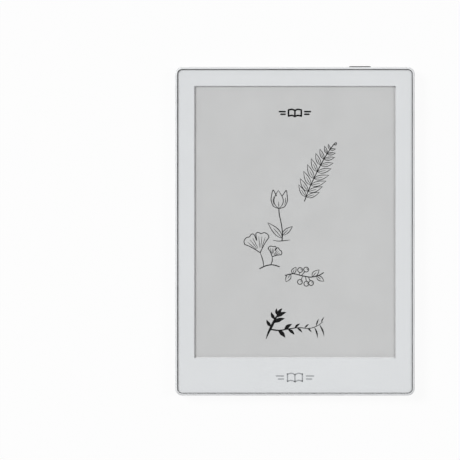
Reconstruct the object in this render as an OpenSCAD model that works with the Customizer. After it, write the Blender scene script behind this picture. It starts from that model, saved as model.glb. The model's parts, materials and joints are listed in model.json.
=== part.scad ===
// Six-inch e-reader, lying on its back with the screen up.
// X runs left to right, Y from the bottom edge to the top edge, Z from the rear face to the lens.
// The origin is the centre of the rear face.

/* [Body] */
// Width of the body
body_w = 108; // [108:1:116]
// Height of the body, from the bottom edge to the top edge
body_h = 148; // [148:1:158]
// Thickness of the body
body_t = 6.8; // [6.8:0.1:7.6]
// Radius of the four corners, seen from the front
corner_r = 3.2; // [3:0.1:4]
// Radius of the edge round the rear face
rear_edge_r = 2.0; // [1.6:0.1:2.2]
// Radius of the outer edge of the front rim
rim_edge_r = 0.8; // [0.3:0.05:0.8]

/* [Lens and screen] */
// Width of the rim beside the lens
rim_w = 0.9; // [0.85:0.05:1.1]
// Gap between the rim and the lens
lens_gap = 0.3; // [0.2:0.05:0.35]
// Thickness of the cover lens
lens_t = 0.7; // [0.5:0.05:0.8]
// Width of the screen window
screen_w = 90.8; // [88:0.2:91]
// Height of the screen window
screen_h = 122.6; // [118:0.2:123]
// Border above the screen window
bezel_top = 8.5; // [8:0.1:10]

/* [Power button] */
// Length of the key
key_len = 9.8; // [8:0.2:12]
// Height of the key across the wall
key_high = 2.2; // [1.8:0.1:2.4]
// How far the key stands out of the top edge
key_stand = 0.5; // [0.3:0.05:0.7]
// How far the key moves in when it is pressed
key_travel = 0.25; // [0.1:0.05:0.25]
// Distance of the key's centre from the middle of the top edge
key_x = 29.4; // [27:0.2:31]

/* [Battery] */
// Width of the cell
cell_w = 82; // [70:1:84]
// Length of the cell
cell_len = 60; // [50:1:60]

/* [Hidden] */
$fn = 48;
eps = 0.01;

// Shell
floor_t = 1.0;
wall_t = 1.5;
part_z = 4.9;
part_groove = 0.12;
groove_depth = 0.3;
skirt_gap = 0.1;
skirt_t = 0.8;
skirt_low_z = 3.4;
half_w = body_w / 2;
half_h = body_h / 2;
wall_in_x = half_w - wall_t;
wall_in_y = half_h - wall_t;

// Snap hooks: x, y and the turn of each
hook_len = 5;
hook_in = 0.35;
hook_z = part_z - 0.75;
hook_high = 0.4;
hook_places = concat(
    [for (side = [-1, 1], y = [-55, -20, 18, 52]) [side * wall_in_x, y, 90]],
    [for (x = [-36, -16]) [x, wall_in_y, 0]],
    [for (x = [-36, 38]) [x, -wall_in_y, 0]]
);

// Levels through the thickness, from the lens down
lens_drop = 0.05;
print_t = 0.05;
glue_t = 0.1;
touch_t = 0.15;
guide_t = 0.45;
film_t = 0.25;
guide_glue_t = 0.05;
backplane_t = 0.45;
tape_t = 0.1;
plate_t = 0.4;
lens_top_z = body_t - lens_drop;
lens_z = lens_top_z - lens_t;
print_z = lens_z - print_t;
lens_seat_z = print_z - glue_t;
touch_z = lens_seat_z - touch_t;
touch_glue_z = touch_z - glue_t;
guide_z = touch_glue_z - guide_t;
guide_glue_z = guide_z - guide_glue_t;
film_z = guide_glue_z - film_t;
backplane_z = film_z - backplane_t;
tape_z = backplane_z - tape_t;
plate_z = tape_z - plate_t;

// Places across the front
rim_in = corner_r - rim_w;
frame_in = 0.3;
skirt_in = frame_in + 0.5;
skirt_out = skirt_in + skirt_t;
wall_in = skirt_out + skirt_gap;
opening_w = body_w - 2 * rim_w;
opening_h = body_h - 2 * rim_w;
lens_w = opening_w - 2 * lens_gap;
lens_h = opening_h - 2 * lens_gap;
lens_r = rim_in - lens_gap;
lens_edge = 0.1;
screen_r = 0.5;
screen_y = half_h - bezel_top - screen_h / 2;
screen_low_y = screen_y - screen_h / 2;
screen_top_y = screen_y + screen_h / 2;
inner_w = body_w - 2 * (corner_r - frame_in);
inner_h = body_h - 2 * (corner_r - frame_in);

// Display stack
backplane_w = 101.8;
backplane_low_y = screen_low_y - 11.7;
backplane_top_y = screen_top_y + 4.2;
stack_w = 101.0;
stack_top_y = screen_top_y + 3.6;
touch_low_y = screen_low_y - 7.4;
guide_low_y = screen_low_y - 3.4;
film_margin = 1.2;
chip_len = 22;
chip_w = 1.8;
chip_t = 0.12;
chip_y = backplane_low_y + 2.4;
chip_xs = [-26, 26];
led_count = 18;
led_pitch = 4.9;
led_size = [3.0, 0.8, 0.4];
flex_t = 0.12;
light_flex_z = guide_z - flex_t;
display_flex_x = -26;
display_flex_w = 28;
light_flex_x = 17;
light_flex_w = 6;
touch_flex_x = 35;
touch_flex_w = 10;

// Mid plate
plate_gap = 0.1;
plate_w = body_w - 2 * (corner_r - skirt_in) - 2 * plate_gap;
plate_h = body_h - 2 * (corner_r - skirt_in) - 2 * plate_gap;
plate_hole_r = 1.0;
plate_hole_x = 47;
plate_hole_y = 20;
stud_r = 1.7;
thread_r = 0.7;
screw_hole_r = 0.85;
screw_head_r = 1.3;
screw_head_t = 0.5;
screw_grip = 0.95;

// Mainboard
board_t = 0.8;
usb_z = 2.7;
board_z = usb_z - 0.25;
board_top_z = board_z + board_t;
board_half_w = 50.5;
board_low_y = 3.4 - half_h;
board_top_y = 47 - half_h;
board_screws = [
    [-44.5, board_top_y - 3.5], [44.5, board_top_y - 3.5],
    [-44.5, board_low_y + 4.1], [44.5, board_low_y + 4.1],
    [-9.5, board_low_y + 7.6], [9.5, board_low_y + 7.6]
];
connector_t = 0.6;
connector_side = 2;
connector_mouth = 1.3;
connector_y = board_low_y + 8.9;
flex_end_y = connector_y + connector_mouth;

// Shielded parts of the board
can_x = 3;
can_w = 34;
can_low_y = board_low_y + 14.6;
can_len = 25;
can_t = 1.1;
can_wall = 0.15;
chip_row_y = can_low_y + can_len / 2;

// USB-C socket
usb_w = 8.94;
usb_high = 3.16;
usb_wall = 0.25;
usb_len = 7.35;
usb_front_y = 0.25 - half_h;
port_gap = 0.17;
notch_w = usb_w + 3;
tongue_w = 6.69;
tongue_t = 0.7;
contact_count = 12;
contact_pitch = 0.5;

// Memory card socket
card_x = 22;
card_w = 13.8;
card_len = 14;
card_t = 1.4;
card_slot_w = 11.9;
card_slot_high = 1.3;
card_front_y = wall_t + 0.1 - half_h;
card_z = board_z - card_t;
card_sheet_t = 0.15;
card_base_t = 0.3;
card_slot_z = (card_z + card_sheet_t + board_z - card_base_t) / 2;

// Power button and its switch
key_z = 2.65;
key_gap = 0.15;
key_edge = 0.3;
flange_t = 0.65;
flange_extra = 1.3;
flange_gap = 0.1;
button_room_w = key_len + 2 * flange_extra + 2.6;
flange_y = wall_in_y - flange_gap - flange_t;
nib_len = 0.55;
plunger_gap = 0.05;
plunger_tip_y = flange_y - nib_len - plunger_gap;
switch_w = 4.6;
switch_len = 3.4;
switch_t = 1.5;
plunger_in = 0.6;
plunger_out = 1.15;
plunger_size = [1.9, plunger_in + plunger_out, 0.9];
pocket_gap = 0.05;
switch_y = plunger_tip_y - plunger_out - switch_len;
bracket_z = 3.5;
bracket_t = 0.2;
bracket_w = 18.6;
bracket_len = 7.0;
bracket_y = switch_y - 2.2;
bracket_screws = [[key_x - 7.9, bracket_y + 2.6], [key_x + 7.9, bracket_y + 2.6]];
button_flex_z = bracket_z - flex_t;
button_flex_x = 48.3;
button_flex_w = 2.2;

// Battery
cell_t = plate_z - tape_t - floor_t - 0.25;
cell_z = plate_z - tape_t - cell_t;
cell_low_y = board_top_y + 9;
cell_board_len = 3.6;
cell_board_t = 0.8;
seam_t = 0.3;
cell_board_z = cell_z + cell_t - seam_t - cell_board_t;
lead_xs = [29.6, 32.4];
lead_r = 0.4;
lead_z = board_z - 0.55;
plug_x = 31;
plug_y = board_top_y - 6;
plug_size = [5.2, 1.5, 1.0];
plug_z = board_z - 1.1;

// Antenna
antenna_x = -24;
antenna_y = half_h - 9;
antenna_size = [36, 8, 0.15];
cable_r = 0.4;
cable_x = -47.2;
cable_z = board_z - 0.55;
cable_bend_r = 3;
cable_plug_r = 1.2;
cable_plug_t = 1.0;
cable_plug_x = -38;
cable_plug_y = board_top_y - 10;

// ---------- Shared shapes ----------

// A flat rectangle with round corners, centred
module rounded_rect(w, h, r) {
    square([w - 2 * r, h], center = true);
    square([w, h - 2 * r], center = true);
    for (sx = [-1, 1], sy = [-1, 1])
        translate([sx * (w / 2 - r), sy * (h / 2 - r)]) circle(r = r);
}

// A plate with round corners, standing on z
module rounded_plate(w, h, t, r, z) {
    translate([0, 0, z]) linear_extrude(t) rounded_rect(w, h, r);
}

// A flat frame between two rounded rectangles, standing on z
module rounded_ring(w, h, r, in_w, in_h, in_r, t, z) {
    translate([0, 0, z])
        linear_extrude(t)
            difference() {
                rounded_rect(w, h, r);
                rounded_rect(in_w, in_h, in_r);
            }
}

// A box from its centre in x, its low y, its low z and its size
module box(x, y, z, size) {
    translate([x - size[0] / 2, y, z]) cube(size);
}

// A slot with round ends, w long and h high, centred
module stadium(w, h) {
    square([w - h, h], center = true);
    for (sx = [-1, 1])
        translate([sx * (w - h) / 2, 0]) circle(r = h / 2);
}

// A stadium drawn in x and z, extruded from y towards +Y
module stadium_along_y(x, y, z, w, h, len) {
    translate([x, y + len, z]) rotate([90, 0, 0]) linear_extrude(len) stadium(w, h);
}

// A quarter disc in the +x +y corner
module quarter_disc(r) {
    intersection() {
        circle(r = r);
        square(r);
    }
}

// Carries a section round the body's outline. Its x is counted from the centre of each corner outwards.
module around_body() {
    along_x = body_w - 2 * corner_r;
    along_y = body_h - 2 * corner_r;
    for (side = [[0, along_x / 2, along_y], [90, along_y / 2, along_x],
                 [180, along_x / 2, along_y], [270, along_y / 2, along_x]])
        rotate([0, 0, side[0]])
            translate([side[1], 0, 0])
                rotate([90, 0, 0]) linear_extrude(side[2], center = true) children();
    for (corner = [[0, 1, 1], [90, -1, 1], [180, -1, -1], [270, 1, -1]])
        translate([corner[1] * along_x / 2, corner[2] * along_y / 2, 0])
            rotate([0, 0, corner[0]]) rotate_extrude(angle = 90) children();
}

// A flex that leaves the display, turns under the bottom edge and ends below the mid plate
module folded_flex(x, w, top_z, top_y, fold_y, end_y) {
    low_z = bracket_z;
    mid_z = (top_z + flex_t + low_z) / 2;
    out_r = (top_z + flex_t - low_z) / 2;
    translate([x - w / 2, 0, 0])
        rotate([90, 0, 90])
            linear_extrude(w) {
                translate([fold_y, top_z]) square([top_y - fold_y, flex_t]);
                translate([fold_y, low_z]) square([end_y - fold_y, flex_t]);
                difference() {
                    translate([fold_y, mid_z]) circle(r = out_r);
                    translate([fold_y, mid_z]) circle(r = out_r - flex_t);
                    translate([fold_y, low_z - eps]) square(2 * out_r + 2 * eps);
                }
            }
}

// A screw pointing up: its head lies under z, its shank goes up from z
module screw(z) {
    slot_w = 0.35;
    difference() {
        translate([0, 0, z - screw_head_t]) cylinder(r = screw_head_r, h = screw_head_t);
        for (turn = [0, 90])
            rotate([0, 0, turn])
                translate([-screw_head_r * 0.6, -slot_w / 2, z - screw_head_t - eps])
                    cube([screw_head_r * 1.2, slot_w, 0.3]);
    }
    translate([0, 0, z]) cylinder(r = thread_r, h = board_t + screw_grip);
}

// A chip: body with a shallow pin-one mark on its rear face
module chip(x, y, size) {
    difference() {
        translate([x - size[0] / 2, y - size[1] / 2, board_z - size[2]]) cube(size);
        translate([x - size[0] / 2 + 1, y - size[1] / 2 + 1, board_z - size[2] - eps])
            cylinder(r = 0.35, h = 0.08);
    }
}

// ---------- Shell ----------

// Section of the rear cover's floor edge and wall
module rear_cover_section() {
    difference() {
        union() {
            square([corner_r - rear_edge_r, floor_t]);
            translate([corner_r - rear_edge_r, rear_edge_r])
                rotate(-90) quarter_disc(rear_edge_r);
            translate([wall_in, rear_edge_r]) square([corner_r - wall_in, part_z - rear_edge_r]);
        }
        translate([-eps, floor_t]) square([wall_in + eps, part_z]);
    }
}

// Hooks of the rear cover, which catch the pockets in the front frame's skirt

// A block on the inner wall at each hook's place, grown by room on every side
module at_hooks(room) {
    for (place = hook_places)
        translate([place[0], place[1], hook_z - room])
            rotate([0, 0, place[2]])
                translate([-hook_len / 2 - room, -hook_in - room, 0])
                    cube([hook_len + 2 * room, 2 * (hook_in + room), hook_high + 2 * room]);
}

module rear_cover() {
    rib_t = 0.6;
    rib_high = 1.1;
    color("whitesmoke") {
        difference() {
            union() {
                around_body() rear_cover_section();
                translate([corner_r - half_w, corner_r - half_h, 0])
                    cube([body_w - 2 * corner_r, body_h - 2 * corner_r, floor_t]);
            }
            stadium_along_y(0, -half_h - eps, usb_z, usb_w + 2 * port_gap, usb_high + 2 * port_gap,
                            wall_t + 2 * eps);
            stadium_along_y(card_x, -half_h - eps, card_slot_z, card_slot_w, card_slot_high,
                            wall_t + 2 * eps);
            stadium_along_y(key_x, wall_in_y - eps, key_z, key_len + 2 * key_gap, key_high + 2 * key_gap,
                            wall_t + 2 * eps);
        }
        // Hooks, each part buried in the wall
        intersection() {
            at_hooks(0);
            translate([-half_w + wall_t / 2, -half_h + wall_t / 2, 0])
                cube([body_w - wall_t, body_h - wall_t, part_z]);
        }
        // Ribs above the battery, and a rib on each side of it
        for (y = [cell_low_y + cell_len + 3, cell_low_y + cell_len + 14])
            box(-4, y, floor_t - eps, [70, rib_t, rib_high]);
        for (side = [-1, 1])
            box(side * (cell_w / 2 + 2), cell_low_y + 4, floor_t - eps, [rib_t, cell_len - 8, rib_high]);
    }
}

// Section of the front frame: rim, lens ledge and skirt
module front_frame_section() {
    translate([rim_in, lens_seat_z - eps]) {
        square([rim_w - rim_edge_r, body_t - lens_seat_z + eps]);
        square([rim_w, body_t - rim_edge_r - lens_seat_z + eps]);
    }
    translate([corner_r - rim_edge_r, body_t - rim_edge_r]) quarter_disc(rim_edge_r);
    translate([frame_in, part_z + part_groove])
        square([corner_r - frame_in, lens_seat_z - part_z - part_groove]);
    translate([frame_in, part_z]) square([corner_r - frame_in - groove_depth, part_groove + eps]);
    translate([frame_in, tape_z]) square([skirt_out - frame_in, part_z - tape_z + eps]);
    translate([skirt_in, skirt_low_z]) square([skirt_t, tape_z - skirt_low_z + eps]);
}

module front_frame() {
    notch_h = tape_z - skirt_low_z + 2 * eps;
    notch_len = 2;
    color("white")
        difference() {
            around_body() front_frame_section();
            // Skirt cut away at the USB-C socket and at the power button
            box(0, -wall_in_y, skirt_low_z - eps, [notch_w, notch_len, notch_h]);
            box(key_x, wall_in_y - notch_len, skirt_low_z - eps, [button_room_w, notch_len, notch_h]);
            at_hooks(0.1);
        }
}

module mid_plate() {
    notch_low_y = -plate_h / 2 - eps;
    flex_notch = backplane_low_y - 0.2 - notch_low_y;
    cut_t = plate_t + 2 * eps;
    color("silver")
        difference() {
            union() {
                rounded_plate(plate_w, plate_h, plate_t, 0.5, plate_z);
                for (spot = board_screws)
                    translate([spot[0], spot[1], board_top_z])
                        cylinder(r = stud_r, h = plate_z - board_top_z + eps);
                for (spot = bracket_screws)
                    translate([spot[0], spot[1], bracket_z + bracket_t])
                        cylinder(r = stud_r, h = plate_z - bracket_z - bracket_t + eps);
            }
            for (spot = concat(board_screws, bracket_screws))
                translate([spot[0], spot[1], board_z]) cylinder(r = thread_r, h = body_t);
            // Ways through for the three display flexes and the USB-C socket
            for (flex = [[display_flex_x, display_flex_w], [light_flex_x, light_flex_w],
                         [touch_flex_x, touch_flex_w]])
                box(flex[0], notch_low_y, plate_z - eps, [flex[1] + 3, flex_notch, cut_t]);
            box(0, notch_low_y, plate_z - eps, [notch_w, usb_len - 1.4, cut_t]);
            // Room for the power button
            box(key_x, plate_h / 2 - 1, plate_z - eps, [button_room_w, 1 + eps, cut_t]);
            // Window that keeps metal away from the antenna
            box(antenna_x, antenna_y - antenna_size[1] / 2 - 1, plate_z - eps,
                [antenna_size[0] + 4, antenna_size[1] + 2, cut_t]);
            // Locating holes
            for (sx = [-1, 1], sy = [-1, 1])
                translate([sx * plate_hole_x, sy * plate_hole_y, plate_z - eps])
                    cylinder(r = plate_hole_r, h = cut_t);
        }
}

module heat_sheet() {
    sheet_size = [can_w + 12, can_len + 4, 0.08];
    color("dimgray")
        translate([can_x, can_low_y + can_len / 2, 0])
            rounded_plate(sheet_size[0], sheet_size[1], sheet_size[2], 1, floor_t);
}

// ---------- Display stack ----------

module cover_lens() {
    color("gainsboro", 0.4) {
        rounded_plate(lens_w, lens_h, lens_t - lens_edge, lens_r, lens_z);
        rounded_plate(lens_w - 2 * lens_edge, lens_h - 2 * lens_edge, lens_edge, lens_r - lens_edge,
                      lens_top_z - lens_edge);
    }
}

// A flat seal under the lens, with a lip that stands in the gap round it
module lens_gasket() {
    gasket_gap = 0.05;
    lip_drop = 0.15;
    outer_w = opening_w - 2 * gasket_gap;
    outer_h = opening_h - 2 * gasket_gap;
    outer_r = rim_in - gasket_gap;
    color("black") {
        rounded_ring(outer_w, outer_h, outer_r, inner_w + 2 * gasket_gap, inner_h + 2 * gasket_gap,
                     frame_in + gasket_gap, glue_t, lens_seat_z);
        rounded_ring(outer_w, outer_h, outer_r, lens_w + 2 * gasket_gap, lens_h + 2 * gasket_gap,
                     lens_r + gasket_gap, lens_top_z - lip_drop - lens_seat_z, lens_seat_z);
    }
}

module border_print() {
    print_gap = 0.03;
    color("ghostwhite")
        translate([0, 0, print_z])
            linear_extrude(print_t)
                difference() {
                    rounded_rect(lens_w - 2 * print_gap, lens_h - 2 * print_gap, lens_r - print_gap);
                    translate([0, screen_y]) rounded_rect(screen_w, screen_h, screen_r);
                }
}

// One full sheet of the display stack between two heights on the front
module sheet(w, low_y, top_y, z, t) {
    box(0, low_y, z, [w, top_y - low_y, t]);
}

module lens_glue_film() {
    color("lightcyan", 0.3) sheet(stack_w - 1, touch_low_y + 0.5, stack_top_y - 0.5, lens_seat_z, glue_t);
}

module touch_sensor() {
    color("lightcyan", 0.5) sheet(stack_w, touch_low_y, stack_top_y, touch_z, touch_t);
}

module touch_glue_film() {
    color("lightcyan", 0.3) sheet(stack_w - 1, guide_low_y + 0.5, stack_top_y - 0.5, touch_glue_z, glue_t);
}

module light_guide() {
    color("azure", 0.5) sheet(stack_w, guide_low_y, stack_top_y, guide_z, guide_t);
}

module guide_glue_film() {
    color("lightcyan", 0.3)
        sheet(screen_w + 1.4, screen_low_y - 0.7, screen_top_y + 0.7, guide_glue_z, guide_glue_t);
}

module epaper_film() {
    color("silver")
        sheet(screen_w + 2 * film_margin, screen_low_y - film_margin, screen_top_y + film_margin,
              film_z, film_t);
}

module backplane_glass() {
    color("lightsteelblue") sheet(backplane_w, backplane_low_y, backplane_top_y, backplane_z, backplane_t);
}

module driver_chips() {
    color("darkslategray")
        for (x = chip_xs) box(x, chip_y, film_z, [chip_len, chip_w, chip_t]);
}

module display_tape() {
    strip_w = 6;
    color("dimgray")
        difference() {
            sheet(backplane_w - 2, backplane_low_y + 1, backplane_top_y - 1, tape_z, tape_t);
            sheet(backplane_w - 2 - 2 * strip_w, backplane_low_y + 1 + strip_w, backplane_top_y - 1 - strip_w,
                  tape_z - eps, tape_t + 2 * eps);
        }
}

module light_flex() {
    low_y = screen_low_y - 6.9;
    color("goldenrod") {
        box(0, low_y, light_flex_z, [90, guide_low_y + 1.4 - low_y, flex_t]);
        folded_flex(light_flex_x, light_flex_w, light_flex_z, low_y + eps, backplane_low_y - 0.5, flex_end_y);
    }
}

// Every second LED of the row, from the first one given
module led_row(first) {
    for (i = [first : 2 : led_count - 1])
        box((i - (led_count - 1) / 2) * led_pitch, guide_low_y - 0.1 - led_size[1], guide_z, led_size);
}

module cool_leds() {
    color("white") led_row(0);
}

module warm_leds() {
    color("moccasin") led_row(1);
}

module display_flex() {
    color("darkorange")
        folded_flex(display_flex_x, display_flex_w, film_z, chip_y - 0.3, backplane_low_y - 0.4, flex_end_y);
}

module touch_flex() {
    color("orange")
        folded_flex(touch_flex_x, touch_flex_w, touch_z - flex_t, touch_low_y + 1.5, backplane_low_y - 0.6,
                    flex_end_y);
}

module touch_chip() {
    size = [3.5, 3.5, 0.2];
    color("black") box(touch_flex_x, board_low_y + 3, bracket_z - size[2], size);
}

// ---------- Battery ----------

module battery_cell() {
    seam_w = 1.2;
    body_low_y = cell_low_y + cell_board_len;
    color("lightgray") {
        translate([0, body_low_y + (cell_len - cell_board_len) / 2, 0])
            rounded_plate(cell_w, cell_len - cell_board_len, cell_t, 2, cell_z);
        // Folded side seams and the flat seam that carries the protection board
        for (side = [-1, 1])
            box(side * (cell_w / 2 + seam_t / 2 - eps), body_low_y + 2, cell_z + 0.5,
                [seam_t, cell_len - cell_board_len - 4, seam_w]);
        box(0, cell_low_y, cell_z + cell_t - seam_t, [cell_w - 8, cell_board_len + 2 * eps, seam_t]);
    }
}

module battery_board() {
    color("darkgreen")
        box(12, cell_low_y + 0.3, cell_board_z, [44, cell_board_len - 0.5, cell_board_t]);
}

module battery_tape() {
    color("gold")
        for (side = [-1, 1])
            box(side * 22, cell_low_y + 10, plate_z - tape_t, [12, cell_len - 20, tape_t]);
}

// A straight lead from the protection board down to the plug, with a short rise at the cell's end
module battery_lead(x) {
    end_y = cell_low_y + 1.2;
    translate([x, end_y, lead_z])
        rotate([90, 0, 0]) cylinder(r = lead_r, h = end_y - plug_y - plug_size[1], $fn = 24);
    translate([x, end_y, lead_z]) sphere(r = lead_r, $fn = 24);
    translate([x, end_y, lead_z])
        cylinder(r = lead_r, h = cell_board_z - lead_z, $fn = 24);
}

module battery_lead_positive() {
    color("red") battery_lead(lead_xs[0]);
}

module battery_lead_negative() {
    color("black") battery_lead(lead_xs[1]);
}

module battery_plug() {
    color("ivory") box(plug_x, plug_y, plug_z, plug_size);
}

module battery_socket() {
    color("beige")
        difference() {
            box(plug_x, plug_y - 2, board_z - 1.2, [plug_size[0] + 1.6, 3.4, 1.2]);
            box(plug_x, plug_y, plug_z, plug_size);
        }
}

// ---------- Mainboard ----------

module mainboard() {
    usb_cut = [usb_w + 1.2, 4.4, board_t + 2 * eps];
    color("darkgreen")
        difference() {
            translate([-board_half_w, board_low_y, board_z])
                cube([2 * board_half_w, board_top_y - board_low_y, board_t]);
            box(0, board_low_y - eps, board_z - eps, usb_cut);
            for (spot = board_screws)
                translate([spot[0], spot[1], board_z - eps]) cylinder(r = screw_hole_r, h = usb_cut[2]);
        }
}

module shield_can() {
    color("silver")
        difference() {
            box(can_x, can_low_y, board_z - can_t, [can_w, can_len, can_t]);
            box(can_x, can_low_y + can_wall, board_z - can_t + can_wall,
                [can_w - 2 * can_wall, can_len - 2 * can_wall, can_t]);
        }
}

module processor() {
    color("black") chip(can_x - 8.5, chip_row_y, [13, 13, 0.85]);
}

module memory_chip() {
    color("black") chip(can_x + 4, chip_row_y, [8, 12, 0.8]);
}

module power_chip() {
    color("black") chip(can_x + 12.5, chip_row_y + 4, [6, 6, 0.75]);
}

module storage_chip() {
    color("black") chip(31, chip_row_y, [11.5, 13, 0.9]);
}

module display_power_chip() {
    color("black") chip(-28, board_low_y + 12, [5, 5, 0.75]);
}

module wireless_module() {
    color("silver") {
        translate([-30 - 6, chip_row_y - 6, board_z - 0.3]) cube([12, 12, 0.3]);
        translate([-30 - 5.6, chip_row_y - 5.6, board_z - 1.3]) cube([11.2, 11.2, 1.0 + eps]);
    }
}

module hall_sensor() {
    color("black") box(42, chip_row_y, board_top_z, [2.9, 1.5, 0.6]);
}

module inductors() {
    color("dimgray")
        for (x = [-40, -36, -20], y = [board_low_y + 8, board_low_y + 14])
            box(x, y, board_z - 1.0, [3, 3, 1.0]);
}

module capacitors() {
    color("tan") {
        for (x = [-20 : 2 : -10], y = [board_low_y + 19.5, board_top_y - 3])
            box(x - 5, y, board_z - 0.5, [1.0, 0.5, 0.5]);
        for (i = [0 : 7])
            box(38, can_low_y + i * 2.4, board_z - 0.5, [1.0, 0.5, 0.5]);
    }
}

// A connector on the board's front side with a mouth for a flex. turn is the way the mouth faces.
module flex_connector(x, y, w, turn) {
    deep = 3;
    mouth = connector_mouth + 0.3;
    translate([x, y, board_top_z])
        rotate([0, 0, turn])
            difference() {
                translate([-w / 2, 0, 0]) cube([w, deep, connector_t]);
                translate([connector_side / 4 - w / 2, -eps, button_flex_z - board_top_z - 0.02])
                    cube([w - connector_side / 2, mouth + eps, 2 * flex_t + 0.04]);
            }
}

module flex_connectors() {
    color("ivory") {
        for (flex = [[display_flex_x, display_flex_w], [light_flex_x, light_flex_w],
                     [touch_flex_x, touch_flex_w]])
            flex_connector(flex[0], connector_y, flex[1] + connector_side, 0);
        flex_connector(button_flex_x, board_top_y - 3, button_flex_w + connector_side, 180);
    }
}

// ---------- Antenna ----------

module antenna() {
    color("goldenrod")
        difference() {
            box(antenna_x, antenna_y - antenna_size[1] / 2, floor_t, antenna_size);
            // Slot that tunes the antenna
            box(antenna_x + 4, antenna_y - 1.5, floor_t - eps, [20, 1, antenna_size[2] + 2 * eps]);
        }
}

// A straight run of cable, len long, from a point in the direction turn
module cable_run(x, y, turn, len) {
    translate([x, y, cable_z])
        rotate([0, 0, turn]) rotate([0, 90, 0]) cylinder(r = cable_r, h = len, $fn = 24);
}

module antenna_cable() {
    pad_x = antenna_x - antenna_size[0] / 2 + 3;
    pad_z = floor_t + antenna_size[2];
    corner_x = cable_x + cable_bend_r;
    top_y = antenna_y - cable_bend_r;
    low_y = cable_plug_y + cable_bend_r;
    color("dimgray") {
        translate([pad_x, antenna_y, pad_z]) cylinder(r = cable_r, h = cable_z - pad_z, $fn = 24);
        translate([pad_x, antenna_y, cable_z]) sphere(r = cable_r, $fn = 24);
        cable_run(pad_x, antenna_y, 180, pad_x - corner_x);
        translate([corner_x, top_y, cable_z])
            rotate([0, 0, 90]) rotate_extrude(angle = 90)
                translate([cable_bend_r, 0]) circle(r = cable_r, $fn = 24);
        cable_run(cable_x, top_y, 270, top_y - low_y);
        translate([corner_x, low_y, cable_z])
            rotate([0, 0, 180]) rotate_extrude(angle = 90)
                translate([cable_bend_r, 0]) circle(r = cable_r, $fn = 24);
        cable_run(corner_x, cable_plug_y, 0, cable_plug_x - cable_plug_r - corner_x);
    }
}

module antenna_plug() {
    color("gold")
        translate([cable_plug_x, cable_plug_y, board_z - cable_plug_t])
            cylinder(r = cable_plug_r, h = cable_plug_t);
}

// ---------- Sockets in the bottom edge ----------

module usb_shell() {
    color("lightgray") {
        difference() {
            stadium_along_y(0, usb_front_y, usb_z, usb_w, usb_high, usb_len);
            stadium_along_y(0, usb_front_y - eps, usb_z, usb_w - 2 * usb_wall, usb_high - 2 * usb_wall,
                            usb_len - usb_wall);
        }
        // Legs that hold the shell down to the board
        for (side = [-1, 1])
            box(side * (usb_w / 2 + 0.5), usb_front_y + 4.4, board_z - 0.2, [1.4, 1.2, 0.2]);
    }
}

module usb_tongue() {
    block_len = 1.6;
    color("black") {
        box(0, usb_front_y + 0.7, usb_z - tongue_t / 2, [tongue_w, usb_len - usb_wall - 0.7 - eps, tongue_t]);
        stadium_along_y(0, usb_front_y + usb_len - usb_wall - block_len - eps, usb_z,
                        usb_w - 2 * usb_wall - 0.02, usb_high - 2 * usb_wall - 0.02, block_len);
    }
}

module usb_contacts() {
    contact_size = [0.26, 3.4, 0.05];
    color("gold")
        for (i = [0 : contact_count - 1],
             low_z = [usb_z + tongue_t / 2, usb_z - tongue_t / 2 - contact_size[2]])
            box((i - (contact_count - 1) / 2) * contact_pitch, usb_front_y + 1.3, low_z, contact_size);
}

module card_shell() {
    color("silver")
        difference() {
            box(card_x, card_front_y, card_z, [card_w, card_len, card_t]);
            box(card_x, card_front_y - eps, card_z + card_sheet_t,
                [card_w - 2 * card_sheet_t, card_len - card_sheet_t + eps, card_t]);
            // Slits beside the spring tab in the broad face
            for (side = [-1, 1])
                box(card_x + side * 3.5, card_front_y + 4, card_z - eps, [0.4, 5, card_sheet_t + 2 * eps]);
        }
}

module card_base() {
    guide_w = 1.0;
    stop_len = 1.8;
    inner_w = card_w - 2 * card_sheet_t;
    inner_len = card_len - card_sheet_t;
    inner_z = card_z + card_sheet_t;
    color("black") {
        box(card_x, card_front_y, board_z - card_base_t, [inner_w, inner_len, card_base_t]);
        for (side = [-1, 1])
            box(card_x + side * (inner_w - guide_w) / 2, card_front_y, inner_z,
                [guide_w, inner_len, board_z - inner_z]);
        box(card_x, card_front_y + inner_len - stop_len, inner_z, [inner_w, stop_len, board_z - inner_z]);
    }
}

module card_contacts() {
    pads = 8;
    pad_pitch = 1.1;
    pad_size = [0.6, 4.5, 0.12];
    color("gold")
        for (i = [0 : pads - 1])
            box(card_x + (i - (pads - 1) / 2) * pad_pitch, card_front_y + 5,
                board_z - card_base_t - pad_size[2], pad_size);
}

// ---------- Power button ----------

// Half of the key's section: x is counted from the middle line, y along the key's travel
module key_section() {
    key_len_y = half_h + key_stand - (flange_y + flange_t);
    square([key_high / 2 - key_edge, key_len_y]);
    square([key_high / 2, key_len_y - key_edge]);
    translate([key_high / 2 - key_edge, key_len_y - key_edge]) quarter_disc(key_edge);
}

module power_button() {
    straight = key_len - key_high;
    color("gray") {
        // Key with round ends and a rounded outer edge
        translate([key_x, flange_y + flange_t - eps, key_z])
            rotate([-90, 0, 0]) {
                for (side = [-1, 1])
                    translate([side * straight / 2, 0, 0])
                        rotate([0, 0, side < 0 ? 90 : -90]) rotate_extrude(angle = 180) key_section();
                for (turn = [0, 180])
                    rotate([0, 0, turn]) rotate([90, 0, 90])
                        linear_extrude(straight, center = true) key_section();
            }
        // Flange that keeps the key in, and the nib that pushes the switch
        box(key_x, flange_y, key_z - key_high / 2 - flange_extra / 4,
            [key_len + 2 * flange_extra, flange_t, key_high + flange_extra / 2]);
        box(key_x, flange_y - nib_len, key_z - 0.6, [2.4, nib_len + eps, 1.2]);
    }
}

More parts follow.
